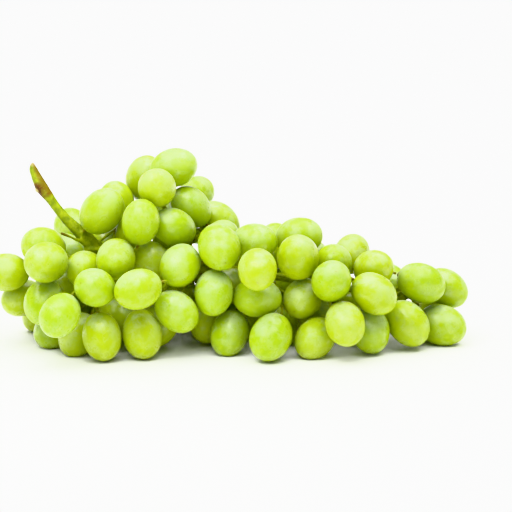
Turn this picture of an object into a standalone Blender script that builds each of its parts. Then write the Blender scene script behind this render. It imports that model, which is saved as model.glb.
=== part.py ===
"""A bunch of green table grapes lying on its side.

Units are metres in Blender; every place and size below is written in millimetres.
+X runs from the cut stalk to the tip of the bunch, -Y is its front, +Z is up, and the
ground is z = 0.  The origin is the middle of the footprint.

Sub-parts: the stem (stalk, main axis, side branches and berry stalks, one grown piece),
the outer berries, one body each, and the sprigs of the heart and the back, where a side
branch and its berries are one body.
"""
import math
import random

import bmesh
import bpy
import numpy as np
from mathutils import Matrix, Vector

MM = 0.001

# Driving dimensions of a berry, in millimetres.
BERRY_WIDTH = 20.0
SLENDERNESS = 1.27          # length over width
TOUCH_GAP = 0.45            # clear space between two pieces
FLAT_DEPTH = 0.4            # how far a berry is pressed flat where it bears on the ground
HEART_WIDTHS = (19.0, 20.6)
BEARING_LIMIT = 0.6         # a berry whose lowest point is under this rests on the ground
BERRY_FINENESS = 2          # subdivisions of the ball a berry is drawn out from

# Outer berries: centre x, y, z; turn of the free end, in degrees from +X towards +Z;
# lean of the free end towards the front, in degrees; width.
SHOULDER = (
    (-116, -14, 40, 180, 10, 20.0), (-96, -8, 52, 150, 45, 21.0), (-92, -32, 49, 170, 60, 21.0),
    (-85, 28, 55, 120, -45, 20.0), (-74, -22, 43, 120, 60, 20.0), (-109, -4, 24, 200, 40, 19.0),
    (-95, -30, 28, 255, 35, 20.0), (-82, -50, 27, 235, 48, 20.0), (-90, -21, 10, 215, 30, 20.0),
    (-77, -33, 11, 235, 40, 20.0),
)
CROWN = (
    (-65, -8, 71, 50, 15, 21.5), (-45, -26, 68, 82, 12, 19.5), (-36, -16, 84, 90, 65, 20.0),
    (-28, 4, 92, 18, 10, 20.5), (-45, 15, 85, 75, 15, 20.5), (-17, 26, 74, 30, -52, 18.6),
    (-20, -2, 71, 130, 15, 20.0), (-6, 13, 62, 145, -15, 20.5), (-28, -18, 66, 145, 30, 20.0),
)
BELLY = (
    (-4, -32, 57, 300, 60, 22.0), (16, -34, 47, 270, 70, 20.0), (14, -12, 55, 5, 20, 19.5),
    (37, -26, 50, 90, 48, 22.0), (38, -4, 57, 12, 20, 20.5), (54.5, -38, 39, 75, 52, 20.5),
    (57, -12, 44, 90, 52, 20.0), (66, 8, 45, 60, -55, 19.5), (76, -8, 41, 30, 50, 19.5),
    (76, -38, 34, 330, 30, 20.5), (60, -48, 22, 290, 55, 20.5), (39, -34, 30, 225, 60, 20.0),
    (-7, -36, 34, 265, 40, 20.0), (-24, -34, 48, 230, 55, 20.5), (-45, -48, 39, 190, 35, 20.5),
    (-56, -34, 52, 240, 70, 20.0), (-67, -44, 38, 145, 50, 19.5), (-25, -38, 25, 322, 20, 20.0),
)
SKIRT = (
    (-64, -42, 13, 280, 10, 20.2), (-44, -39, 13, 280, 10, 20.6), (2, -31, 12, 250, 35, 20.0),
    (23, -37, 12, 240, 45, 21.5), (46, -36, 11, 220, 45, 20.0), (16, -21, 27, 0, 15, 20.5),
    (75, -26, 12, 285, 40, 20.5),
)
TAIL = (
    (95, -16, 13, 310, 20, 21.0), (102, -6, 32.5, 340, 5, 20.8), (115.5, 8, 25, 328, 15, 20.0),
    (113, -10, 11, 350, 30, 21.8),
)
OUTER = SHOULDER + CROWN + BELLY + SKIRT + TAIL

# Berries of the heart that show through the gaps: centre x, y, z.
HEART = (
    (-5, -5, 56), (48, 8, 41), (-10, -14, 14), (-37, -22, 14), (-100, 12, 10), (-89, -11, 31),
    (-83, 10, 45), (-56, -2, 56), (-40, -12, 47), (7, -10, 36), (47, -16, 18), (88, -2, 28.5),
    (-55, -23, 18), (-56, 13, 65), (105, 12, 12), (66, 9, 17), (-28, 7, 53),
    (-66, 17, 50), (-50, 24, 36), (93, 20, 19), (31, 18, 26), (-36, 28, 66), (25, 20, 46),
)

# The rest of the heart and the back fill the bunch up to these limits.
TOP_LINE = ((-118, 46), (-98, 60), (-68, 80), (-50, 92), (-28, 101), (-17, 88), (-3, 74), (12, 60),
            (38, 64), (50, 54), (66, 56), (77, 48), (95, 40), (116, 36), (127, 27))
BACK_LINE = ((-118, 14), (-95, 38), (-60, 54), (-20, 55), (20, 50), (60, 44), (90, 36), (120, 19))
FRONT_OF_FILL = -14         # the outer berries hold everything in front of this
VIEW_FALL = math.tan(math.radians(12))      # how the top slopes down towards the back
FILL_SPACING = 21.6
FILL_JITTER = 1.5
FILL_MARGIN = 5             # room left for the berries to spread towards the back
FILL_LEVELS = range(6)
FILL_LINES = range(-2, 5)
FILL_PLACES = range(-6, 7)
FILL_CLEARANCE = 0.85        # the next three are shares: of a berry's width, from what sits there;
AXIS_CLEARANCE = 0.58       # of a berry's width, from the main axis;
WIDEST_HEIGHT = 0.4         # and of the bunch's height, where it reaches furthest back
ENDS = (-117, 112)          # how far the centres of the heart and the back may go in x

# The stalk and main axis: x, y, z, radius.
MAIN_AXIS = (
    (-103.4, -6, 98, 2.4), (-100, -6, 90, 2.8), (-97.3, -6, 84, 3.8), (-92.2, -6, 77, 2.6),
    (-86.6, -6, 69, 2.8), (-80, -5, 62, 3.3), (-73.5, -4, 55.5, 4.1), (-67, -2, 49.5, 3.6),
    (-45, 1, 42, 2.8), (-10, 2, 38, 2.5), (30, 0, 34, 2.2), (66, -2, 28, 1.9), (92, -2, 22, 1.5),
)
AXIS_STEP = 6.0
CUT_TILT = 35               # degrees: the stalk was cut off on the slant
KNOB = (-98.9, -7.4, 82.5, 1.5)     # a small knob on the swelling of the stalk: x, y, z, radius
BARE_STALKS = (             # stalks that have lost their berries
    ((-67, -2, 49.5, 1.4), (-82, -14, 59, 1.0), (-87, -18, 62, 1.3)),
    ((-60, -1, 47, 1.4), (-58, -18, 72, 0.9), (-61, -22, 77, 0.8), (-63.5, -22, 77.5, 1.1)),
)

# Side branches, each with the stalks of its berries.
FIRST_BRANCH = -68          # no side branch leaves the stalk before this x
ROOT_LEAD = 7.0             # a branch leaves the axis this far before its berries
BERRIES_PER_BRANCH = 5
SPRIGS = 11
BRANCH_RADIUS = 1.5
FOOT_RADIUS = 1.8
FOOT_LENGTH = 1.5
HUB_RADIUS = 1.9
BERRY_STALK_RADIUS = 1.0
BERRY_STALK_ROOT = 1.15     # radius of a berry's stalk where it leaves the hub
BERRY_STALK = 4.5           # straight part of a berry's stalk
RECEPTACLE_RADIUS = 2.0
RECEPTACLE_LENGTH = 2.0
STALK_CLEARANCE = 1.2
LOWEST_STALK = 3.0
DENT_GAP = 0.35             # a pressing berry keeps this much clear of the dent it makes
STALK_BITE = 0.9            # how far a sprig's stalk grows into its berry
FOOT_GAP = 0.6              # between the foot of a sprig and the main axis
STEM_BODY = -1              # stands for the stem among the sprigs' numbers

# The stem's mesh.
TUBE_SIDES = 10
BALL_FINENESS = 2
STEM_VOXEL = 0.55           # the fineness at which crossing stalks are fused
STEM_SMOOTHING = 2
STEM_FACES = 3000
SPRIG_STALK_FACES = 170

# Settling: the berries and stalks push each other apart a little in every round.
ROUNDS = 700
HOMING = 0.03               # how firmly the outer berries keep their places while the rest gives way
STALKS_FROM = 0.3           # shares of the rounds: when the stalks start to part,
LATE_FROM = 0.7             # and when everything moves less
PUSH, LATE_PUSH = 0.5, 0.35
SLACK, LATE_SLACK = 0.15, 0.02
OUTER_SLIDE, OUTER_SHIFT = 0.25, 0.012      # how freely berries move in depth, and sideways
HEART_SLIDE, HEART_SHIFT = 0.5, 0.06
STALK_GIVE = 0.9            # the share of a push that a stalk's end takes
HUB_PULL = 0.3              # how far a hub is drawn from its berries towards the main axis
HEEL_GAP = 1.0
SEED = 7


def unit(vectors):
    return vectors / np.maximum(np.linalg.norm(vectors, axis=-1, keepdims=True), 1e-9)


def reach(axis, half_length, half_width, direction):
    """How far a berry reaches along a direction from its centre."""
    along = np.sum(axis * direction, axis=-1)
    return np.sqrt(half_width ** 2 + (half_length ** 2 - half_width ** 2) * along ** 2)


def closest_places(start, end, other_start, other_end):
    """Where two straight runs come closest, as fractions of their lengths."""
    along = end - start
    across = other_end - other_start
    between = start - other_start
    a, e, f = along @ along, across @ across, across @ between
    b, c = along @ across, along @ between
    spread = a * e - b * b
    place = min(max((b * f - c * e) / spread, 0), 1) if spread > 1e-9 else 0.5
    other = min(max((b * place + f) / max(e, 1e-9), 0), 1)
    return min(max((b * other - c) / max(a, 1e-9), 0), 1), other


def along_line(line, x):
    return np.interp(x, [point[0] for point in line], [point[1] for point in line])


def free_end(turn, lean):
    turn = math.radians(turn)
    lean = math.radians(lean)
    return (math.cos(turn) * math.cos(lean), -math.sin(lean), math.sin(turn) * math.cos(lean))


def smooth_axis(points, step):
    """Points of a Catmull-Rom curve through the main axis, with its radius."""
    rows = np.array(points, float)
    rows = np.vstack([2 * rows[0] - rows[1], rows, 2 * rows[-1] - rows[-2]])
    curve = []
    for start in range(1, len(rows) - 2):
        before, first, last, after = rows[start - 1:start + 3]
        pieces = max(1, round(np.linalg.norm((last - first)[:3]) / step))
        for piece in range(pieces):
            t = piece / pieces
            curve.append(0.5 * (2 * first + (last - before) * t
                                + (2 * before - 5 * first + 4 * last - after) * t ** 2
                                + (3 * first - before - 3 * last + after) * t ** 3))
    curve.append(rows[-2])
    return np.array(curve)


class Bunch:
    """Where every berry sits and which way it points, in millimetres."""

    def __init__(self):
        self.random = random.Random(SEED)
        self.main = smooth_axis(MAIN_AXIS, AXIS_STEP)
        centres = [berry[:3] for berry in OUTER] + list(HEART)
        self.outer_count = len(OUTER)
        self.pinned_count = len(centres)
        centres += self.fill(centres)
        self.centre = np.array(centres, float)
        count = len(centres)
        widths = [berry[5] for berry in OUTER]
        widths += [self.random.uniform(*HEART_WIDTHS) for _ in range(count - self.outer_count)]
        self.half_width = np.array(widths) / 2
        self.half_length = self.half_width * SLENDERNESS
        self.axis = unit(self.centre - self.nearest_on_main(self.centre))
        for index, berry in enumerate(OUTER):
            self.axis[index] = free_end(berry[3], berry[4])
        self.give_mobility()
        self.group()
        self.settle()

    def nearest_on_main(self, points):
        offsets = points[:, None, :] - self.main[None, :, :3]
        return self.main[np.argmin(np.linalg.norm(offsets, axis=2), axis=1), :3]

    def fill(self, taken):
        """A close-packed stack inside the outline, wherever nothing sits yet."""
        taken = np.array(taken, float)
        axis = self.main[:, :3]
        layer = FILL_SPACING * math.sqrt(2 / 3)
        row = FILL_SPACING * math.sqrt(3) / 2
        found = []
        for level in FILL_LEVELS:
            for line in FILL_LINES:
                for place in FILL_PLACES:
                    x = (place + 0.5 * (line % 2) + 0.5 * (level % 2)) * FILL_SPACING
                    y = line * row + (level % 2) * row / 3
                    z = BERRY_WIDTH / 2 + level * layer
                    spot = np.array([x, y, z])
                    spot += [self.random.uniform(-FILL_JITTER, FILL_JITTER) for _ in range(3)]
                    if self.has_room(spot, taken, axis):
                        found.append(tuple(spot))
        return found

    @staticmethod
    def has_room(spot, taken, axis):
        x, y, z = spot
        if not ENDS[0] < x < ENDS[1] or y < FRONT_OF_FILL:
            return False
        back = along_line(BACK_LINE, x) - BERRY_WIDTH / 2 - FILL_MARGIN
        top = along_line(TOP_LINE, x) - VIEW_FALL * y - BERRY_WIDTH / 2
        middle = WIDEST_HEIGHT * top
        rise = max(0.0, (z - middle) / max(top - middle, 1.0))
        if z > top or y > back * math.sqrt(max(0.0, 1 - rise ** 2)):
            return False
        near = np.linalg.norm(taken - spot, axis=1).min()
        near_axis = np.linalg.norm(axis - spot, axis=1).min()
        return near > FILL_CLEARANCE * BERRY_WIDTH and near_axis > AXIS_CLEARANCE * BERRY_WIDTH

    def give_mobility(self):
        """Outer berries slide in depth and hardly move in outline; the rest move freely."""
        depth = np.array([0.0, math.cos(math.atan(VIEW_FALL)), -math.sin(math.atan(VIEW_FALL))])
        slide = np.outer(depth, depth)
        self.mobility = np.tile(np.eye(3), (len(self.centre), 1, 1))
        self.mobility[:self.pinned_count] = HEART_SLIDE * slide + HEART_SHIFT * np.eye(3)
        self.mobility[:self.outer_count] = OUTER_SLIDE * slide + OUTER_SHIFT * np.eye(3)

    def group(self):
        """Outer berries share side branches by fives; the others make the sprigs."""
        outer = list(range(self.outer_count))
        inner = list(range(self.outer_count, len(self.centre)))
        self.branches = self.clusters(outer, math.ceil(len(outer) / BERRIES_PER_BRANCH))
        self.sprig_from = len(self.branches)
        self.branches += self.clusters(inner, SPRIGS)
        self.branch_of = np.zeros(len(self.centre), int)
        for number, members in enumerate(self.branches):
            self.branch_of[members] = number
        collars = self.collars()
        self.hub = np.array([collars[members].mean(axis=0) for members in self.branches])
        self.hub += HUB_PULL * (self.nearest_on_main(self.hub) - self.hub)
        self.root, self.root_radius = self.roots()
        self.bend = 0.5 * (self.hub + self.root)
        self.knee = 0.5 * (collars + self.hub[self.branch_of])

    def clusters(self, members, groups):
        left = sorted(members, key=lambda index: self.centre[index][0])
        made = []
        for number in range(groups):
            size = math.ceil(len(left) / (groups - number))
            first = left[0]
            left.sort(key=lambda index: np.linalg.norm(self.centre[index] - self.centre[first]))
            made.append(left[:size])
            left = sorted(left[size:], key=lambda index: self.centre[index][0])
        return made

    def roots(self):
        """Where each branch leaves the main axis: a place of its own, a little before its hub."""
        free = [place for place in self.main if place[0] >= FIRST_BRANCH]
        ahead = self.hub - np.array([ROOT_LEAD, 0, 0])
        chosen = np.zeros((len(self.hub), 4))
        for number in np.argsort(ahead[:, 0]):
            offsets = np.array(free)[:, :3] - ahead[number]
            nearest = int(np.argmin(np.linalg.norm(offsets, axis=1)))
            chosen[number] = free.pop(nearest)
        return chosen[:, :3], chosen[:, 3]

    def collars(self):
        """The far end of the straight stalk behind each berry."""
        return self.centre - self.axis * (self.half_length + BERRY_STALK)[:, None]

    def settle(self):
        home = self.centre[:self.pinned_count].copy()
        for turn in range(ROUNDS):
            late = turn > LATE_FROM * ROUNDS
            if not late:
                self.centre[:self.pinned_count] += HOMING * (home - self.centre[:self.pinned_count])
            strength = LATE_PUSH if late else PUSH
            self.part_berries(strength)
            self.part_from_stem(strength)
            if turn > STALKS_FROM * ROUNDS:
                self.part_stalks(strength)
            self.keep_inside()
            self.slacken(LATE_SLACK if late else SLACK)

    def part_berries(self, strength):
        count = len(self.centre)
        first, second = np.triu_indices(count, 1)
        offset = self.centre[second] - self.centre[first]
        distance = np.linalg.norm(offset, axis=1)
        direction = offset / distance[:, None]
        need = TOUCH_GAP
        need = need + reach(self.axis[first], self.half_length[first], self.half_width[first], direction)
        need = need + reach(self.axis[second], self.half_length[second], self.half_width[second], direction)
        push = need - distance
        hit = push > 0
        first, second, direction, push = first[hit], second[hit], direction[hit], push[hit]
        move_first = np.einsum("nij,nj->ni", self.mobility[first], direction)
        move_second = np.einsum("nij,nj->ni", self.mobility[second], direction)
        share = push / np.sum((move_first + move_second) * direction, axis=1)
        np.add.at(self.centre, first, -strength * move_first * share[:, None])
        np.add.at(self.centre, second, strength * move_second * share[:, None])

    def segments(self):
        """Every straight run of the stem: ends, radius, owner berry, body, and what moves each end."""
        collars = self.collars()
        heel = self.centre - self.axis * (self.half_length + HEEL_GAP)[:, None]
        runs = []
        for index, number in enumerate(self.branch_of):
            body = self.body_of(number)
            berry, knee, hub = ("centre", index), ("knee", index), ("hub", number)
            bent = self.knee[index]
            runs.append((heel[index], collars[index], BERRY_STALK_RADIUS, index, body, berry, berry))
            runs.append((collars[index], bent, BERRY_STALK_RADIUS, index, body, berry, knee))
            runs.append((bent, self.hub[number], BERRY_STALK_RADIUS, index, body, knee, hub))
        for number in range(len(self.hub)):
            body = self.body_of(number)
            hub, bend = ("hub", number), ("bend", number)
            runs.append((self.hub[number], self.bend[number], BRANCH_RADIUS, -1, body, hub, bend))
            runs.append((self.bend[number], self.root[number], BRANCH_RADIUS, -1, body, bend, None))
        for start, end in zip(self.main[:-1], self.main[1:]):
            runs.append((start[:3], end[:3], max(start[3], end[3]), -1, STEM_BODY, None, None))
        return runs

    def body_of(self, number):
        return STEM_BODY if number < self.sprig_from else number

    def shift(self, handle, move):
        if handle is None:
            return
        kind, number = handle
        if kind == "centre":
            self.centre[number] += self.mobility[number] @ move
        else:
            getattr(self, kind)[number] += move

    def stem_contacts(self, runs):
        """For each berry and run: clear space between them, direction, and place on the run."""
        start = np.array([run[0] for run in runs])
        span = np.array([run[1] for run in runs]) - start
        radius = np.array([run[2] for run in runs])
        length = np.maximum(np.sum(span * span, axis=1), 1e-6)
        offset = self.centre[:, None, :] - start[None]
        place = np.clip(np.sum(offset * span[None], axis=2) / length, 0, 1)
        offset = offset - place[:, :, None] * span[None]
        distance = np.maximum(np.linalg.norm(offset, axis=2), 1e-6)
        direction = offset / distance[:, :, None]
        bulk = reach(self.axis[:, None, :], self.half_length[:, None], self.half_width[:, None], direction)
        clear = distance - bulk - radius[None]
        for index in range(len(self.centre)):
            clear[index, 3 * index] = TOUCH_GAP
        return clear, direction, place

    def part_from_stem(self, strength):
        runs = self.segments()
        clear, direction, place = self.stem_contacts(runs)
        for berry, run in zip(*np.nonzero(clear < TOUCH_GAP)):
            away = strength * (TOUCH_GAP - clear[berry, run]) * direction[berry, run]
            owner, first, second = runs[run][3], runs[run][5], runs[run][6]
            if owner != berry:
                self.centre[berry] += (0.5 if second else 1.0) * (self.mobility[berry] @ away)
            self.shift(first, -STALK_GIVE * (1 - place[berry, run]) * away)
            self.shift(second, -STALK_GIVE * place[berry, run] * away)

    def part_stalks(self, strength):
        """Stalks of different bodies keep clear of each other."""
        runs = self.segments()
        start = np.array([run[0] for run in runs])
        end = np.array([run[1] for run in runs])
        radius = np.array([run[2] for run in runs])
        body = np.array([run[4] for run in runs])
        fixed = np.array([run[5] is None for run in runs])
        rooted = np.array([run[5] is not None and run[6] is None for run in runs])
        half = np.linalg.norm(end - start, axis=1) / 2
        middle = (start + end) / 2
        first, second = np.triu_indices(len(runs), 1)
        apart = np.linalg.norm(middle[first] - middle[second], axis=1)
        close = apart < half[first] + half[second] + radius[first] + radius[second] + TOUCH_GAP
        close &= body[first] != body[second]
        close &= ~(rooted[first] & fixed[second]) & ~(rooted[second] & fixed[first])
        for one, other in zip(first[close], second[close]):
            at_one, at_other = closest_places(start[one], end[one], start[other], end[other])
            gap = (start[other] + at_other * (end[other] - start[other])
                   - start[one] - at_one * (end[one] - start[one]))
            distance = max(np.linalg.norm(gap), 1e-6)
            push = radius[one] + radius[other] + TOUCH_GAP + STALK_CLEARANCE - distance
            if push > 0:
                away = strength * push * gap / distance
                self.shift(runs[one][5], -(1 - at_one) * away)
                self.shift(runs[one][6], -at_one * away)
                self.shift(runs[other][5], (1 - at_other) * away)
                self.shift(runs[other][6], at_other * away)

    def keep_inside(self):
        """Nothing sinks into the ground, shows above the outline or strays behind."""
        up = np.array([0.0, 0.0, 1.0])
        low = reach(self.axis, self.half_length, self.half_width, up[None]) - FLAT_DEPTH
        free = slice(self.outer_count, None)
        self.centre[:, 2] = np.maximum(self.centre[:, 2], low)
        top = along_line(TOP_LINE, self.centre[:, 0]) - VIEW_FALL * self.centre[:, 1] - self.half_width
        ceiling = np.maximum(top, low)
        self.centre[free, 2] = np.minimum(self.centre[free, 2], ceiling[free])
        self.centre[free, 0] = np.clip(self.centre[free, 0], *ENDS)
        back = along_line(BACK_LINE, self.centre[:, 0]) - self.half_width
        self.centre[free, 1] = np.minimum(self.centre[free, 1], back[free])
        for points in (self.hub, self.bend, self.knee):
            points[:, 2] = np.maximum(points[:, 2], LOWEST_STALK)

    def slacken(self, pull):
        """Stalks pull straight, and the free berries turn to face away from their hub."""
        collars = self.collars()
        self.knee += pull * (0.5 * (collars + self.hub[self.branch_of]) - self.knee)
        self.bend += pull * (0.5 * (self.hub + self.root) - self.bend)
        free = slice(self.outer_count, None)
        aim = unit(self.centre[free] - self.hub[self.branch_of][free])
        self.axis[free] = unit(self.axis[free] + pull / 3 * aim)


# ---- model ----

def clear_scene():
    for item in list(bpy.data.objects):
        bpy.data.objects.remove(item)


def make_material(name, color, roughness):
    material = bpy.data.materials.new(name)
    material.use_nodes = True
    shader = material.node_tree.nodes["Principled BSDF"]
    shader.inputs["Base Color"].default_value = (*color, 1)
    shader.inputs["Roughness"].default_value = roughness
    shader.inputs["Metallic"].default_value = 0.0
    material.diffuse_color = (*color, 1)
    return material


def add_object(name, mesh, material=None):
    item = bpy.data.objects.new(name, mesh)
    bpy.context.scene.collection.objects.link(item)
    if material:
        mesh.materials.append(material)
    return item


def hide_helper(item):
    item.hide_render = True
    item.display_type = "WIRE"


def mesh_from(builder, name, smooth=True):
    mesh = bpy.data.meshes.new(name)
    bmesh.ops.recalc_face_normals(builder, faces=builder.faces)
    builder.to_mesh(mesh)
    builder.free()
    if smooth:
        mesh.shade_smooth()
    return mesh


def berry_frame(bunch, index):
    """The berry's place, with its local +Z along its long axis, towards the free end."""
    turn = Vector(bunch.axis[index]).to_track_quat("Z", "Y")
    return Matrix.LocRotScale(Vector(bunch.centre[index]) * MM, turn, None)


def add_berry_shape(builder, bunch, index, frame):
    """An ellipsoid: a ball drawn out along the berry's long axis."""
    across = bunch.half_width[index] * MM
    along = bunch.half_length[index] * MM
    size = Matrix.Diagonal((across, across, along, 1))
    made = bmesh.ops.create_icosphere(builder, subdivisions=BERRY_FINENESS, radius=1, matrix=frame @ size)
    return made["verts"]


def cut_off(builder, place, facing):
    """Cuts off what lies beyond a plane, and closes the cut with a flat face."""
    cut = bmesh.ops.bisect_plane(builder, geom=builder.verts[:] + builder.edges[:] + builder.faces[:],
                                 plane_co=place, plane_no=facing, clear_outer=True, dist=1e-7)
    rim = [item for item in cut["geom_cut"] if isinstance(item, bmesh.types.BMEdge)]
    if rim:
        bmesh.ops.contextual_create(builder, geom=rim)
        bmesh.ops.triangulate(builder, faces=[face for face in builder.faces if len(face.verts) > 3])


def press_flat(builder, frame):
    """Leaves the small flat a berry rests on, where it would reach below the ground."""
    inverse = frame.inverted()
    cut_off(builder, inverse @ Vector((0, 0, 0)), inverse.to_3x3() @ Vector((0, 0, -1)))


def lower_to_ground(bunch, index):
    """Where a berry bears on the ground, its lowest point goes just below it."""
    trial = bmesh.new()
    corners = add_berry_shape(trial, bunch, index, berry_frame(bunch, index))
    lowest = min(corner.co.z for corner in corners) / MM
    trial.free()
    if lowest < BEARING_LIMIT:
        bunch.centre[index][2] -= lowest + FLAT_DEPTH
        return True
    return False


def make_outer_berries(bunch, skin):
    for index in range(bunch.outer_count):
        bears = lower_to_ground(bunch, index)
        frame = berry_frame(bunch, index)
        builder = bmesh.new()
        add_berry_shape(builder, bunch, index, Matrix.Identity(4))
        if bears:
            press_flat(builder, frame)
        berry = add_object(f"berry_{index + 1:02d}", mesh_from(builder, f"berry_{index + 1:02d}"), skin)
        berry.matrix_world = frame


def add_tube(builder, points):
    """A round tapering tube through points of x, y, z, radius, with rounded joints and ends."""
    rows = np.array(points, float)
    for start, end in zip(rows[:-1], rows[1:]):
        first, last = Vector(start[:3]) * MM, Vector(end[:3]) * MM
        turn = (last - first).to_track_quat("Z", "Y")
        place = Matrix.LocRotScale((first + last) / 2, turn, None)
        bmesh.ops.create_cone(builder, cap_ends=True, segments=TUBE_SIDES, radius1=start[3] * MM,
                              radius2=end[3] * MM, depth=(last - first).length, matrix=place)
    for row in rows[1:-1]:
        add_ball(builder, row[:3], row[3])


def add_ball(builder, place, radius):
    ball = Matrix.Translation(Vector(place) * MM)
    bmesh.ops.create_icosphere(builder, subdivisions=BALL_FINENESS, radius=radius * MM, matrix=ball)


def berry_stalk(bunch, index, end_gap):
    """From the branch's hub by a knee to the cup that holds the berry."""
    hub = bunch.hub[bunch.branch_of[index]]
    axis = bunch.axis[index]
    pole = bunch.centre[index] - axis * bunch.half_length[index]
    collar = pole - axis * BERRY_STALK
    neck = pole - axis * RECEPTACLE_LENGTH
    cup = pole - axis * end_gap
    radii = (BERRY_STALK_ROOT,) + 3 * (BERRY_STALK_RADIUS,) + (RECEPTACLE_RADIUS,)
    return [(*point, radius) for point, radius in zip((hub, bunch.knee[index], collar, neck, cup), radii)]


def add_branch(builder, bunch, number, end_gap, from_axis):
    """A side branch, its hub and the stalks of its berries."""
    root, bend, hub = bunch.root[number], bunch.bend[number], bunch.hub[number]
    away = unit(bend - root)
    foot = root + away * from_axis
    neck = foot + away * FOOT_LENGTH
    add_tube(builder, [(*foot, FOOT_RADIUS), (*neck, BRANCH_RADIUS), (*bend, BRANCH_RADIUS),
                       (*hub, BRANCH_RADIUS)])
    add_ball(builder, hub, HUB_RADIUS)
    for index in bunch.branches[number]:
        add_tube(builder, berry_stalk(bunch, index, end_gap))


def fuse_tubes(builder, name):
    """Fuses crossing tubes into one skin."""
    rough = add_object(name + "_tubes", mesh_from(builder, name + "_tubes"))
    fuse = rough.modifiers.new("fuse", "REMESH")
    fuse.mode = "VOXEL"
    fuse.voxel_size = STEM_VOXEL * MM
    smooth = rough.modifiers.new("smooth", "SMOOTH")
    smooth.iterations = STEM_SMOOTHING
    graph = bpy.context.evaluated_depsgraph_get()
    mesh = bpy.data.meshes.new_from_object(rough.evaluated_get(graph))
    mesh.name = name
    bpy.data.objects.remove(rough)
    keep_largest(mesh)
    return mesh


def keep_largest(mesh):
    """Drops the tiny bubbles that fusing leaves between crossing tubes."""
    builder = bmesh.new()
    builder.from_mesh(mesh)
    pieces = []
    waiting = set(builder.verts)
    while waiting:
        front = [waiting.pop()]
        piece = list(front)
        while front:
            corner = front.pop()
            found = {edge.other_vert(corner) for edge in corner.link_edges} & waiting
            waiting -= found
            front += found
            piece += found
        pieces.append(piece)
    pieces.sort(key=len)
    small = [corner for piece in pieces[:-1] for corner in piece]
    bmesh.ops.delete(builder, geom=small, context="VERTS")
    builder.to_mesh(mesh)
    builder.free()


def dent_where_pressed(mesh, bunch, berries):
    """Moves the skin of the stalks out of the berries that press on them."""
    spots = np.array([corner.co for corner in mesh.vertices]) / MM
    for index in berries:
        offset = spots - bunch.centre[index]
        along = offset @ bunch.axis[index]
        across = np.sum(offset * offset, axis=1) - along ** 2
        depth = across / (bunch.half_width[index] + DENT_GAP) ** 2
        depth += along ** 2 / (bunch.half_length[index] + DENT_GAP) ** 2
        inside = depth < 1
        stretch = 1 / np.sqrt(np.maximum(depth[inside], 0.01))
        spots[inside] = bunch.centre[index] + offset[inside] * stretch[:, None]
    mesh.vertices.foreach_set("co", (spots * MM).ravel())
    mesh.update()


def cut_tip(mesh, bunch):
    """The stalk's cut end: a slanted flat that falls away from the bunch."""
    tip, below = Vector(bunch.main[0][:3]), Vector(bunch.main[1][:3])
    along = (tip - below).normalized()
    side = along.cross(Vector((0, 1, 0))).normalized()
    if side.x < 0:
        side = -side
    point = tip + side * bunch.main[0][3]
    facing = Matrix.Rotation(math.radians(-CUT_TILT), 3, "Y") @ along
    builder = bmesh.new()
    builder.from_mesh(mesh)
    cut_off(builder, point * MM, facing)
    builder.to_mesh(mesh)
    builder.free()


def thin_out(item, faces):
    triangles = sum(len(face.vertices) - 2 for face in item.data.polygons)
    thin = item.modifiers.new("thin", "DECIMATE")
    thin.ratio = min(1.0, faces / triangles)
    thin.use_collapse_triangulate = True


def make_stem(bunch, green):
    builder = bmesh.new()
    add_tube(builder, bunch.main)
    add_tube(builder, [KNOB, (*MAIN_AXIS[2][:3], KNOB[3])])
    add_ball(builder, KNOB[:3], KNOB[3])
    for stalk in BARE_STALKS:
        add_tube(builder, stalk)
    for number in range(bunch.sprig_from):
        add_branch(builder, bunch, number, TOUCH_GAP, 0.0)
    mesh = fuse_tubes(builder, "stem")
    dent_where_pressed(mesh, bunch, range(len(bunch.centre)))
    cut_tip(mesh, bunch)
    thin_out(add_object("stem", mesh, green), STEM_FACES)


def make_sprigs(bunch, skin):
    """Each sprig is one body: a side branch with its hub, stalks and berries."""
    for number in range(bunch.sprig_from, len(bunch.branches)):
        name = f"sprig_{number - bunch.sprig_from + 1:02d}"
        own = bunch.branches[number]
        builder = bmesh.new()
        foot = bunch.root_radius[number] + FOOT_RADIUS + FOOT_GAP
        add_branch(builder, bunch, number, -STALK_BITE, foot)
        mesh = fuse_tubes(builder, name)
        dent_where_pressed(mesh, bunch, [index for index in range(len(bunch.centre)) if index not in own])
        sprig = add_object(name, mesh, skin)
        thin_out(sprig, SPRIG_STALK_FACES)
        builder = bmesh.new()
        for index in own:
            add_sprig_berry(builder, bunch, index)
        berries = add_object(name + "_berries", mesh_from(builder, name + "_berries"))
        hide_helper(berries)
        join = sprig.modifiers.new("join", "BOOLEAN")
        join.operation = "UNION"
        join.object = berries


def add_sprig_berry(builder, bunch, index):
    bears = lower_to_ground(bunch, index)
    single = bmesh.new()
    add_berry_shape(single, bunch, index, berry_frame(bunch, index))
    if bears:
        press_flat(single, Matrix.Identity(4))
    mesh = mesh_from(single, "single_berry")
    builder.from_mesh(mesh)
    bpy.data.meshes.remove(mesh)


def centre_on_ground():
    """Moves everything so that the origin is the middle of the footprint."""
    graph = bpy.context.evaluated_depsgraph_get()
    shown = [item for item in bpy.data.objects if not item.hide_render]
    corners = []
    for item in shown:
        mesh = item.evaluated_get(graph).data
        corners += [item.matrix_world @ corner.co for corner in mesh.vertices]
    corners = np.array(corners)
    low, high = corners.min(axis=0), corners.max(axis=0)
    move = Vector(((low[0] + high[0]) / -2, (low[1] + high[1]) / -2, -low[2]))
    for item in bpy.data.objects:
        item.location += move


def main():
    clear_scene()
    skin = make_material("grape_skin", (0.56, 0.68, 0.10), 0.32)
    green = make_material("green_stem", (0.30, 0.36, 0.07), 0.6)
    bunch = Bunch()
    make_outer_berries(bunch, skin)
    make_sprigs(bunch, skin)
    make_stem(bunch, green)
    bpy.context.view_layer.update()
    centre_on_ground()


main()
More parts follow.
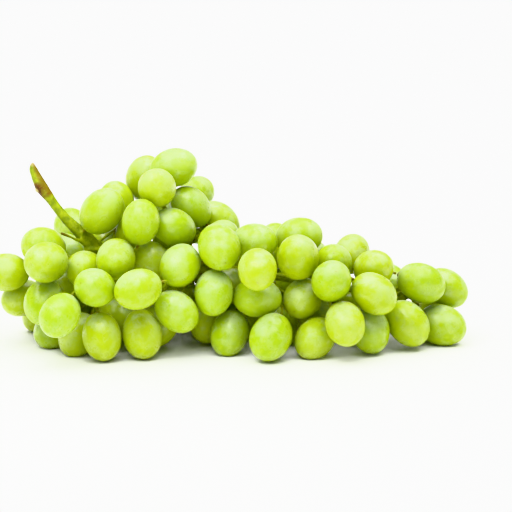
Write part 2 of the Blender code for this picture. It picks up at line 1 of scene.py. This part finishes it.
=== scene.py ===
"""A bunch of green grapes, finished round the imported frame: skin, stalks, light and camera.

Lengths in the constants are millimetres, except those of the set, which are metres. Every
berry's place, direction and size is worked out from its CAD node, and each berry is then
built again as a fine mesh of its own.
"""

import math
import random

import bmesh
import bpy
import numpy as np
from mathutils import Matrix, Vector, noise


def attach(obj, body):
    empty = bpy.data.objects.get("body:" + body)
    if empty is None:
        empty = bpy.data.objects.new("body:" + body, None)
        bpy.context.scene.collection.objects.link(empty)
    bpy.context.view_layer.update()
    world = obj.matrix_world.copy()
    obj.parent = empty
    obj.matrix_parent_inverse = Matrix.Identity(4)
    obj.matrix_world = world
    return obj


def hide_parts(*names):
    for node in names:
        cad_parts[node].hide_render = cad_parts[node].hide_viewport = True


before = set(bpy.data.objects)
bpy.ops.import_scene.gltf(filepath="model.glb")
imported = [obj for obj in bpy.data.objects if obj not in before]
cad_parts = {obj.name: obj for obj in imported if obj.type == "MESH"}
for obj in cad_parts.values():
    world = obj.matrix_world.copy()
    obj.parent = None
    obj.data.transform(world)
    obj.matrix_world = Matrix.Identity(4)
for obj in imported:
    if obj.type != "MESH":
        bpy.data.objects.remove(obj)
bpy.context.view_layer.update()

MM = 0.001
SEED = 11
FULL_TURN = 6.28
NOISE_STRIDE = 3.1          # keeps the unevenness of one berry from repeating on the next

# Finding the berries in the CAD nodes.
WELD = 0.01
FOLD = -0.02                # radians: an edge bent inwards more than this divides two patches
BERRY_SKIN = 600            # square millimetres: a smooth patch larger than this is a berry
OFF_THE_GROUND = 0.1        # the corners below this belong to the flat a berry rests on
FIT_ROUNDS = 4
FIT_UNIT = 10               # the fit works in centimetres
OUTLIER = 0.05
NEAREST = 6                 # how many points of the stalks tell which end they come to

# The fine mesh of a berry.
SEGMENTS = 40
BODY_RINGS = 17
FREE_END_RINGS = (0.25, 0.5, 0.8, 1.15, 1.6, 2.3)
HEEL_RINGS = (0.5, 0.9, 1.25, 1.55, 1.85, 2.2, 2.7, 3.4)
UNEVENNESS = 0.1
UNEVEN_SCALE = 8.0
SWELL = 0.25                # how much fuller than an ellipsoid one half of a berry can be
SCAR_TIP = (0.16, 0.35)     # rise, and reach along the skin, of the scar at the free end,
SCAR_DIMPLE = (-0.2, 1.2)   # of the dimple round it,
HEEL_PIT = (-0.45, 2.3)     # of the pit where the stalk grows in,
HEEL_PLUG = (0.85, 1.3)     # and of the plug in the pit
SCAR_STAIN = 0.6            # how far the scar's colour reaches
HEEL_STAIN = 2.3

# The stem.
STEM_VOXEL = 0.4
STEM_SMOOTHING = 5
GRAIN_RISE = 0.12
GRAIN_SCALE = 1.6
LOWEST = 0.05               # no stalk goes lower than this
CUP_REACH = 2.6
CLEAR_OF_BERRIES = 4        # a bare stalk is further than this from every berry
BERRY_FADE = 3
BARE_FADE = 4
BARE_ABOVE = 57             # stalks in front of the main one have dried above this height
CUT_ABOVE = 90              # the one stalk that reaches this high has the cut end
LONG_WAY = 1000.0           # stands for a distance to something that is not there
KNOB_BELOW_TIP = 16.5       # the knob is the part that stands out furthest at about this distance
KNOB_SEARCH = 2.5
KNOB_SIDE = (-0.77, -0.44, -0.46)
KNOB_RISE = 0.7
KNOB_RADIUS = 1.2

# The set, in metres and degrees.
FLOOR_FLAT = 2.5
FLOOR_RIM = 9.0
FLOOR_RISE = 1.0
FLOOR_RINGS = 36
FLOOR_SIDES = 72
FLOOR_TONE = (0.92, 0.92, 0.92, 1)
STUDIO_TONE = (1, 1, 1, 1)
STUDIO_STRENGTH = 0.54
OVERHEAD_ENERGY = 6.4
OVERHEAD_SPREAD = 76
OVERHEAD_FROM = (0.0, -0.1, 1)
PANEL_SIZE = 0.24
PANEL_ENERGY = 0.62
PANEL_PLACE = (-0.09, -0.15, 0.22)
PANEL_AIM = (-0.04, 0, 0.08)

# The camera.
ELEVATION = 12
DISTANCE = 1200
AIM = (15.25, 17.67, 43.77)
FIELD = 273.9               # width of what the camera sees at its aim
SENSOR = 36
NEAR, FAR = 50, 50000

# Colours of the skin.
GREEN_SKIN = (0.235, 0.345, 0.0006)
YELLOW_SKIN = (0.285, 0.362, 0.0008)
PALE_STREAK = (0.42, 0.50, 0.03)
SPECK = (0.22, 0.24, 0.02)
# Pale wax bloom, partly real and partly painted sheen: where it is mixed in, it is laid on more strongly
# the more the skin faces up.
BLOOM_AND_SHEEN = (0.38, 0.465, 0.27)
SCAR = (0.12, 0.09, 0.02)
HEEL = (0.16, 0.11, 0.03)

# Colours of the stem.
DARK_STEM = (0.115, 0.165, 0.003)
LIGHT_STEM = (0.255, 0.315, 0.008)
BROWN_STEM = (0.13, 0.045, 0.006)
KNOB_STAIN = (0.1, 0.035, 0.003)
KNOB_RING = (0.05, 0.018, 0.003)
KNOB_TOP = (0.42, 0.38, 0.16)
DRIED = (0.09, 0.05, 0.012)
CUT_END = (0.22, 0.16, 0.06)
CUP = (0.12, 0.06, 0.012)
WART = (0.34, 0.34, 0.10)


# ---- the berries' places ----

def welded(node):
    """A copy of a CAD node's mesh with its split corners joined."""
    builder = bmesh.new()
    builder.from_mesh(node.data)
    bmesh.ops.remove_doubles(builder, verts=builder.verts, dist=WELD * MM)
    builder.faces.ensure_lookup_table()
    return builder


def smooth_patches(builder):
    """Faces in groups that no inward fold divides."""
    waiting = set(builder.faces)
    patches = []
    while waiting:
        start = min(waiting, key=lambda face: face.index)
        waiting.discard(start)
        front, patch = [start], [start]
        while front:
            face = front.pop()
            for edge in face.edges:
                if len(edge.link_faces) == 2 and edge.calc_face_angle_signed(0) > FOLD:
                    for other in edge.link_faces:
                        if other in waiting:
                            waiting.discard(other)
                            front.append(other)
                            patch.append(other)
        patches.append(patch)
    return patches


def ellipsoid(points):
    """Centre, long axis, half length and half width of the ellipsoid through these points."""
    middle = points.mean(axis=0)
    kept = points
    for _ in range(FIT_ROUNDS):
        x, y, z = ((kept - middle) / FIT_UNIT).T
        terms = np.column_stack([x * x, y * y, z * z, 2 * x * y, 2 * x * z, 2 * y * z,
                                 2 * x, 2 * y, 2 * z])
        a, b, c, d, e, f, *line = np.linalg.lstsq(terms, np.ones(len(kept)), rcond=None)[0]
        form = np.array([[a, d, e], [d, b, f], [e, f, c]])
        shift = -np.linalg.solve(form, line)
        values, vectors = np.linalg.eigh(form / (1 + shift @ form @ shift))
        centre = middle + FIT_UNIT * shift
        radii = FIT_UNIT / np.sqrt(values)
        across = (kept - centre) @ vectors / radii
        error = np.abs(np.linalg.norm(across, axis=1) - 1) * radii[1]
        if error.max() < OUTLIER:
            break
        kept = kept[error <= max(OUTLIER, 2 * np.median(error))]
    return centre, vectors[:, 0], radii[0], (radii[1] + radii[2]) / 2


def corners_of(faces):
    return {corner for face in faces for corner in face.verts}


def places_of(corners):
    """The places of corners, in millimetres and in the order of their numbers."""
    in_order = sorted(corners, key=lambda corner: corner.index)
    return np.array([corner.co for corner in in_order]) / MM


def found_berry(name, node, points, stalk_points):
    """A berry fitted to points of its skin; its axis points away from the stalks."""
    points = points[points[:, 2] > OFF_THE_GROUND]
    centre, axis, half_length, half_width = ellipsoid(points)
    near = []
    for side in (1, -1):
        pole = centre + side * half_length * axis
        near.append(np.sort(np.linalg.norm(stalk_points - pole, axis=1))[:NEAREST].mean())
    if near[0] < near[1]:
        axis = -axis
    return {"name": name, "node": node, "centre": centre, "axis": axis,
            "half_length": half_length, "half_width": half_width}


def sprig_berries(name, builder):
    """The berries of one sprig; their skins are cut from its mesh, which leaves its stalks."""
    skins = []
    for patch in smooth_patches(builder):
        if sum(face.calc_area() for face in patch) > BERRY_SKIN * MM ** 2:
            skins.append(patch)
    skin_faces = {face for patch in skins for face in patch}
    rest = corners_of(set(builder.faces) - skin_faces)
    berries = []
    for number, patch in enumerate(skins):
        points = places_of(corners_of(patch) - rest)
        berries.append(found_berry(f"{name}_grape_{number + 1}", name, points, places_of(rest)))
    bmesh.ops.delete(builder, geom=list(skin_faces), context="FACES")
    return berries


def find_berries():
    """Every berry, and for each sprig the mesh of its stalks."""
    stem = welded(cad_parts["stem"])
    stem_points = places_of(stem.verts)
    stem.free()
    berries, stalks = [], {}
    for name in sorted(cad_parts):
        if name == "stem":
            continue
        builder = welded(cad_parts[name])
        if name.startswith("berry"):
            title = name.replace("berry", "grape")
            berries.append(found_berry(title, name, places_of(builder.verts), stem_points))
            builder.free()
        else:
            berries += sprig_berries(name, builder)
            stalks[name] = builder
    return berries, stalks


# ---- meshes ----

def add_piece(name, mesh, material, node):
    piece = bpy.data.objects.new(name, mesh)
    bpy.context.scene.collection.objects.link(piece)
    mesh.materials.append(material)
    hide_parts(node)
    return piece


def set_attribute(mesh, name, values):
    values = np.asarray(values, np.float32)
    if values.ndim == 1:
        mesh.attributes.new(name, "FLOAT", "POINT").data.foreach_set("value", values)
    else:
        mesh.attributes.new(name, "FLOAT_VECTOR", "POINT").data.foreach_set("vector", values.ravel())


def ring_angles(half_width):
    free = [arc / half_width for arc in FREE_END_RINGS]
    heel = [math.pi - arc / half_width for arc in reversed(HEEL_RINGS)]
    body = np.linspace(free[-1], heel[0], BODY_RINGS + 2)[1:-1]
    return [*free, *body, *heel]


def relief(to_free, to_heel):
    """How far the skin stands proud, by distance along it from each end."""
    round_forms = ((to_free, SCAR_TIP), (to_free, SCAR_DIMPLE))
    flat_forms = ((to_heel, HEEL_PIT), (to_heel, HEEL_PLUG))
    total = sum(rise * math.exp(-(away / reach) ** 2) for away, (rise, reach) in round_forms)
    return total + sum(rise * math.exp(-(away / reach) ** 4) for away, (rise, reach) in flat_forms)


def skin_faces(rings):
    """Faces of a skin: a point at the free end, rings of SEGMENTS points, a point at the heel."""
    faces = []
    last = 1 + (rings - 1) * SEGMENTS
    for step in range(SEGMENTS):
        after = (step + 1) % SEGMENTS
        faces.append((0, 1 + step, 1 + after))
        faces.append((last + SEGMENTS, last + after, last + step))
        for ring in range(rings - 1):
            first, second = 1 + ring * SEGMENTS, 1 + (ring + 1) * SEGMENTS
            faces.append((first + step, second + step, second + after, first + after))
    return faces


def berry_mesh(berry, number, chance):
    """The fine skin of one berry, with what its material has to know about each point."""
    half_width, half_length = berry["half_width"], berry["half_length"]
    spin = Matrix.Rotation(chance.uniform(0, FULL_TURN), 3, "Z").to_quaternion()
    turn = Vector(berry["axis"]).to_track_quat("Z", "Y") @ spin
    place = Matrix.LocRotScale(Vector(berry["centre"]) * MM, turn, None)
    angles = ring_angles(half_width)
    swell = chance.uniform(-SWELL, SWELL)
    drift = Vector((NOISE_STRIDE * number, 0, 0))

    def skin_place(angle, around):
        sine, cosine = math.sin(angle), math.cos(angle)
        spot = Vector((half_width * sine * math.cos(around), half_width * sine * math.sin(around),
                       half_length * cosine))
        normal = Vector((spot.x / half_width ** 2, spot.y / half_width ** 2,
                         spot.z / half_length ** 2)).normalized()
        rise = relief(angle * half_width, (math.pi - angle) * half_width)
        rise += swell * cosine * sine ** 2
        world = place @ (spot * MM)
        rise += UNEVENNESS * noise.noise(world / (UNEVEN_SCALE * MM) + drift)
        world = place @ ((spot + rise * normal) * MM)
        world.z = max(world.z, 0.0)
        return tuple(world), tuple(spot)

    made = [skin_place(0, 0)]
    free, heel = [0.0], [math.pi * half_width]
    for angle in angles:
        for step in range(SEGMENTS):
            made.append(skin_place(angle, 2 * math.pi * step / SEGMENTS))
            free.append(angle * half_width)
            heel.append((math.pi - angle) * half_width)
    made.append(skin_place(math.pi, 0))
    free.append(math.pi * half_width)
    heel.append(0.0)
    spots, local = zip(*made)
    mesh = bpy.data.meshes.new(berry["name"])
    mesh.from_pydata(spots, [], skin_faces(len(angles)))
    mesh.shade_smooth()
    free, heel = np.array(free), np.array(heel)
    set_attribute(mesh, "tone", np.full(len(spots), chance.random()))
    set_attribute(mesh, "scar", np.exp(-(free / SCAR_STAIN) ** 2))
    set_attribute(mesh, "heel", np.exp(-(heel / HEEL_STAIN) ** 4))
    set_attribute(mesh, "local", np.array(local) * MM)
    return mesh


def make_berries(berries, skin):
    chance = random.Random(SEED)
    for number, berry in enumerate(berries):
        mesh = berry_mesh(berry, number, chance)
        piece = add_piece(berry["name"], mesh, skin, berry["node"])
        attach(piece, "root")


def largest_part(builder):
    """Keeps the largest connected piece of a mesh."""
    waiting = set(builder.verts)
    parts = []
    while waiting:
        front = [waiting.pop()]
        part = list(front)
        while front:
            corner = front.pop()
            found = {edge.other_vert(corner) for edge in corner.link_edges} & waiting
            waiting -= found
            front += found
            part += found
        parts.append(part)
    parts.sort(key=len)
    bmesh.ops.delete(builder, geom=[corner for part in parts[:-1] for corner in part], context="VERTS")


def ramp(values, start, width):
    return np.clip((values - start) / width, 0, 1)


def evened(name, builder):
    """A stalk's mesh closed, fused into one skin and made fine and even."""
    bmesh.ops.holes_fill(builder, edges=builder.edges, sides=0)
    largest_part(builder)
    bmesh.ops.recalc_face_normals(builder, faces=builder.faces)
    mesh = bpy.data.meshes.new(name)
    builder.to_mesh(mesh)
    builder.free()
    rough = bpy.data.objects.new(name + "_rough", mesh)
    bpy.context.scene.collection.objects.link(rough)
    soften = rough.modifiers.new("soften", "SUBSURF")
    soften.levels = soften.render_levels = 1
    fuse = rough.modifiers.new("fuse", "REMESH")
    fuse.mode = "VOXEL"
    fuse.voxel_size = STEM_VOXEL * MM
    smooth = rough.modifiers.new("smooth", "SMOOTH")
    smooth.iterations = STEM_SMOOTHING
    graph = bpy.context.evaluated_depsgraph_get()
    fine = bpy.data.meshes.new_from_object(rough.evaluated_get(graph))
    bpy.data.objects.remove(rough)
    fine.name = name
    return fine


def fine_stalk(name, builder, green, node, heels):
    """A fine stalk with the grain of a woody one, its knob, and where it is cut or bare."""
    fine = evened(name, builder)
    spots = np.empty(3 * len(fine.vertices))
    fine.vertices.foreach_get("co", spots)
    spots = spots.reshape(-1, 3) / MM
    normals = np.array([corner.normal for corner in fine.vertices])
    tip = spots[np.argmax(spots[:, 2])]
    from_tip = from_knob = np.full(len(spots), LONG_WAY)
    if tip[2] > CUT_ABOVE:
        from_tip = np.linalg.norm(spots - tip, axis=1)
        level = np.abs(from_tip - KNOB_BELOW_TIP) < KNOB_SEARCH
        knob = spots[np.argmax(np.where(level, spots @ KNOB_SIDE, -np.inf))]
        from_knob = np.linalg.norm(spots - knob, axis=1)
    rise = np.array([GRAIN_RISE * noise.noise(Vector(spot) / GRAIN_SCALE) for spot in spots])
    rise += KNOB_RISE * np.exp(-(from_knob / KNOB_RADIUS) ** 2)
    spots += normals * rise[:, None]
    spots[:, 2] = np.maximum(spots[:, 2], LOWEST)
    fine.vertices.foreach_set("co", (spots * MM).ravel())
    fine.update()
    fine.shade_smooth()
    closest = np.full(len(spots), LONG_WAY)
    for heel in heels:
        closest = np.minimum(closest, np.linalg.norm(spots - heel, axis=1))
    set_attribute(fine, "cup", np.exp(-(closest / CUP_REACH) ** 4))
    bare = ramp(closest, CLEAR_OF_BERRIES, BERRY_FADE) * ramp(-spots[:, 1], 0, BARE_FADE)
    set_attribute(fine, "bare", bare * ramp(spots[:, 2], BARE_ABOVE, BARE_FADE))
    set_attribute(fine, "from_tip", from_tip)
    set_attribute(fine, "from_knob", from_knob)
    piece = add_piece(name, fine, green, node)
    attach(piece, "root")


# ---- materials ----

class Shader:
    """A node material, made one node at a time."""

    def __init__(self, name):
        self.material = bpy.data.materials.new(name)
        self.material.use_nodes = True
        self.tree = self.material.node_tree
        self.surface = self.tree.nodes["Principled BSDF"]

    def join(self, source, target):
        if isinstance(source, bpy.types.NodeSocket):
            self.tree.links.new(source, target)
        else:
            target.default_value = source

    def set(self, **values):
        for name, value in values.items():
            self.join(value, self.surface.inputs[name.replace("_", " ")])

    def attribute(self, name):
        made = self.tree.nodes.new("ShaderNodeAttribute")
        made.attribute_name = name
        return made.outputs["Fac"]

    def local(self):
        made = self.tree.nodes.new("ShaderNodeAttribute")
        made.attribute_name = "local"
        return made.outputs["Vector"]

    def world(self):
        return self.tree.nodes.new("ShaderNodeNewGeometry").outputs["Position"]

    def facing(self, direction):
        """How far the surface faces along X, Y or Z, from -1 to 1."""
        normal = self.tree.nodes.new("ShaderNodeNewGeometry").outputs["Normal"]
        made = self.tree.nodes.new("ShaderNodeSeparateXYZ")
        self.join(normal, made.inputs[0])
        return made.outputs[direction]

    def scaled(self, vector, scale):
        made = self.tree.nodes.new("ShaderNodeMapping")
        made.inputs["Scale"].default_value = scale
        self.join(vector, made.inputs["Vector"])
        return made.outputs["Vector"]

    def noise(self, vector, scale, detail=3.0, roughness=0.5):
        made = self.tree.nodes.new("ShaderNodeTexNoise")
        self.join(vector, made.inputs["Vector"])
        made.inputs["Scale"].default_value = scale
        made.inputs["Detail"].default_value = detail
        made.inputs["Roughness"].default_value = roughness
        return made.outputs["Fac"]

    def cells(self, vector, scale):
        made = self.tree.nodes.new("ShaderNodeTexVoronoi")
        self.join(vector, made.inputs["Vector"])
        made.inputs["Scale"].default_value = scale
        return made.outputs["Distance"]

    def spread(self, value, low, high, to_low=0.0, to_high=1.0):
        """A smooth step of a value between two limits."""
        made = self.tree.nodes.new("ShaderNodeMapRange")
        made.interpolation_type = "SMOOTHSTEP"
        self.join(value, made.inputs["Value"])
        made.inputs["From Min"].default_value = low
        made.inputs["From Max"].default_value = high
        made.inputs["To Min"].default_value = to_low
        made.inputs["To Max"].default_value = to_high
        return made.outputs["Result"]

    def combine(self, operation, first, second):
        made = self.tree.nodes.new("ShaderNodeMath")
        made.operation = operation
        self.join(first, made.inputs[0])
        self.join(second, made.inputs[1])
        return made.outputs[0]

    def plus(self, first, second):
        return self.combine("ADD", first, second)

    def times(self, first, second):
        return self.combine("MULTIPLY", first, second)

    def larger(self, first, second):
        return self.combine("MAXIMUM", first, second)

    def apart(self, value, other):
        """How far two values are apart."""
        return self.combine("ABSOLUTE", self.combine("SUBTRACT", value, other), 0.0)

    def mix(self, factor, first, second):
        made = self.tree.nodes.new("ShaderNodeMix")
        made.data_type = "RGBA"
        for socket, value in ((made.inputs[0], factor), (made.inputs[6], first), (made.inputs[7], second)):
            self.join(value if not isinstance(value, tuple) else (*value, 1.0), socket)
        return made.outputs[2]

    def bump(self, height, strength, depth):
        made = self.tree.nodes.new("ShaderNodeBump")
        made.inputs["Strength"].default_value = strength
        made.inputs["Distance"].default_value = depth
        self.join(height, made.inputs["Height"])
        return made.outputs["Normal"]


def grape_skin():
    shader = Shader("grape_skin")
    local, world = shader.local(), shader.world()
    patches = shader.noise(world, scale=70.0, detail=2.0)
    hue = shader.plus(shader.times(shader.attribute("tone"), 0.6), shader.times(patches, 0.5))
    color = shader.mix(shader.spread(hue, 0.15, 0.95), GREEN_SKIN, YELLOW_SKIN)
    along = shader.scaled(local, (420.0, 420.0, 75.0))
    streaks = shader.noise(along, scale=1.0, detail=3.0, roughness=0.6)
    color = shader.mix(shader.spread(streaks, 0.48, 0.75, to_high=0.3), color, PALE_STREAK)
    specked = shader.spread(shader.noise(world, scale=160.0, detail=1.0), 0.5, 0.62)
    specks = shader.times(shader.spread(shader.cells(world, scale=520.0), 0.16, 0.08), specked)
    color = shader.mix(shader.times(specks, 0.35), color, SPECK)
    bloom = shader.spread(shader.noise(world, scale=90.0, detail=4.0, roughness=0.6), 0.4, 0.6)
    # Painted sheen: the pale bloom grows stronger on upward faces, as light from above would fall; only
    # its patchiness is the real wax bloom.
    cover = shader.spread(shader.facing("Z"), -0.2, 0.9, to_low=0.06, to_high=0.55)
    patchy = shader.spread(bloom, 0.0, 1.0, to_low=0.1)
    color = shader.mix(shader.times(patchy, cover), color, BLOOM_AND_SHEEN)
    ends = shader.noise(world, scale=1500.0, detail=2.0)
    scar = shader.times(shader.attribute("scar"), shader.spread(ends, 0.3, 0.6))
    color = shader.mix(shader.times(scar, 0.6), color, SCAR)
    torn = shader.spread(ends, 0.25, 0.7, to_low=0.35, to_high=0.9)
    color = shader.mix(shader.times(shader.attribute("heel"), torn), color, HEEL)
    grain = shader.noise(world, scale=2600.0, detail=2.0)
    wax = shader.noise(world, scale=190.0, detail=4.0, roughness=0.6)
    height = shader.plus(shader.times(grain, 0.15), wax)
    shader.set(Base_Color=color,
               Roughness=shader.spread(bloom, 0.0, 1.0, to_low=0.28, to_high=0.44),
               Normal=shader.bump(height, strength=0.2, depth=0.0006),
               IOR=1.45, Specular_IOR_Level=0.15,
               Subsurface_Weight=1.0, Subsurface_Radius=(0.9, 1.0, 0.12), Subsurface_Scale=0.008,
               Coat_Weight=shader.spread(wax, 0.4, 0.6, to_low=0.12),
               Coat_Roughness=shader.spread(wax, 0.35, 0.65, to_low=0.4, to_high=0.26))
    return shader.material


def green_stem():
    shader = Shader("green_stem")
    world = shader.world()
    mottle = shader.noise(world, scale=260.0, detail=4.0, roughness=0.6)
    color = shader.mix(shader.spread(mottle, 0.3, 0.7), DARK_STEM, LIGHT_STEM)
    from_tip, from_knob = shader.attribute("from_tip"), shader.attribute("from_knob")
    patches = shader.spread(shader.noise(world, scale=120.0, detail=3.0, roughness=0.7), 0.62, 0.75)
    blotch = shader.spread(shader.noise(world, scale=330.0, detail=3.0, roughness=0.7), 0.4, 0.6)
    swelling = shader.spread(shader.apart(from_tip, KNOB_BELOW_TIP), 5.0, 1.5)
    upper = shader.spread(from_tip, KNOB_BELOW_TIP + 4.0, KNOB_BELOW_TIP)
    scorched = shader.times(shader.spread(shader.facing("X"), -0.3, 0.6), upper)
    brown = shader.larger(patches, shader.times(swelling, blotch))
    brown = shader.larger(brown, shader.times(scorched, 0.8))
    stained = shader.spread(blotch, 0.0, 1.0, to_low=0.6, to_high=0.97)
    cupped = shader.spread(mottle, 0.3, 0.6, to_low=0.3, to_high=0.9)
    layers = (
        (shader.times(brown, 0.85), BROWN_STEM),
        (shader.times(shader.attribute("bare"), 0.8), DRIED),
        (shader.times(shader.spread(from_knob, 5.6, 3.4), stained), KNOB_STAIN),
        (shader.times(shader.spread(shader.apart(from_knob, 2.3), 0.9, 0.2), 0.8), KNOB_RING),
        (shader.spread(from_knob, 1.7, 0.9, to_high=0.8), KNOB_TOP),
        (shader.times(shader.spread(from_tip, 3.2, 1.2), 0.8), CUT_END),
        (shader.times(shader.attribute("cup"), cupped), CUP),
        (shader.times(shader.spread(shader.cells(world, scale=900.0), 0.35, 0.1), 0.25), WART),
    )
    for cover, tint in layers:
        color = shader.mix(cover, color, tint)
    fibre = shader.noise(world, scale=1400.0, detail=4.0)
    shader.set(Base_Color=color,
               Roughness=shader.spread(mottle, 0.2, 0.8, to_low=0.45, to_high=0.65),
               Normal=shader.bump(fibre, strength=0.35, depth=0.0003),
               Specular_IOR_Level=0.25,
               Subsurface_Weight=0.2, Subsurface_Radius=(1.0, 1.0, 0.3), Subsurface_Scale=0.0006)
    return shader.material


# ---- the set ----

def make_floor():
    """A round floor, flat under the bunch, whose far rim rises gently into a backdrop."""
    spots, faces = [(0.0, 0.0, 0.0)], []
    for ring in range(1, FLOOR_RINGS + 1):
        reach = FLOOR_RIM * ring / FLOOR_RINGS
        height = FLOOR_RISE * max(0.0, (reach - FLOOR_FLAT) / (FLOOR_RIM - FLOOR_FLAT)) ** 2
        for step in range(FLOOR_SIDES):
            around = 2 * math.pi * step / FLOOR_SIDES
            spots.append((reach * math.cos(around), reach * math.sin(around), height))
    for step in range(FLOOR_SIDES):
        after = (step + 1) % FLOOR_SIDES
        faces.append((0, 1 + step, 1 + after))
        for ring in range(FLOOR_RINGS - 1):
            inner, outer = 1 + ring * FLOOR_SIDES, 1 + (ring + 1) * FLOOR_SIDES
            faces.append((inner + step, outer + step, outer + after, inner + after))
    mesh = bpy.data.meshes.new("floor")
    mesh.from_pydata(spots, [], faces)
    mesh.shade_smooth()
    floor = bpy.data.objects.new("floor", mesh)
    bpy.context.scene.collection.objects.link(floor)
    shader = Shader("floor")
    shader.set(Base_Color=FLOOR_TONE, Roughness=0.6, Specular_IOR_Level=0.2)
    floor.data.materials.append(shader.material)


def add_lamp(name, kind, energy, behind):
    """A lamp that shines along the direction opposite to `behind`."""
    lamp = bpy.data.lights.new(name, kind)
    lamp.energy = energy
    item = bpy.data.objects.new(name, lamp)
    bpy.context.scene.collection.objects.link(item)
    item.rotation_mode = "QUATERNION"
    item.rotation_quaternion = behind.to_track_quat("Z", "Y")
    return item


def make_lights():
    world = bpy.data.worlds.new("studio")
    world.use_nodes = True
    studio = world.node_tree.nodes["Background"].inputs
    studio["Color"].default_value = STUDIO_TONE
    studio["Strength"].default_value = STUDIO_STRENGTH
    bpy.context.scene.world = world
    overhead = add_lamp("overhead", "SUN", OVERHEAD_ENERGY, Vector(OVERHEAD_FROM))
    overhead.data.angle = math.radians(OVERHEAD_SPREAD)
    panel = add_lamp("panel", "AREA", PANEL_ENERGY, Vector(PANEL_PLACE) - Vector(PANEL_AIM))
    panel.data.size = PANEL_SIZE
    panel.location = PANEL_PLACE


def make_camera():
    lens = bpy.data.cameras.new("camera")
    lens.sensor_width = SENSOR
    lens.lens = SENSOR * DISTANCE / FIELD
    lens.clip_start, lens.clip_end = NEAR * MM, FAR * MM
    camera = bpy.data.objects.new("camera", lens)
    bpy.context.scene.collection.objects.link(camera)
    rise = math.radians(ELEVATION)
    back = Vector((0, -math.cos(rise), math.sin(rise)))
    camera.location = (Vector(AIM) + DISTANCE * back) * MM
    camera.rotation_mode = "QUATERNION"
    camera.rotation_quaternion = (-back).to_track_quat("-Z", "Y")
    bpy.context.scene.camera = camera


def main():
    berries, stalks = find_berries()
    heels = [berry["centre"] - berry["axis"] * berry["half_length"] for berry in berries]
    skin, green = grape_skin(), green_stem()
    make_berries(berries, skin)
    for name, builder in stalks.items():
        fine_stalk(name + "_stalks", builder, green, name, heels)
    fine_stalk("stalk", welded(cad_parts["stem"]), green, "stem", heels)
    make_floor()
    make_lights()
    make_camera()
    bpy.context.scene.view_settings.view_transform = "Khronos PBR Neutral"


main()
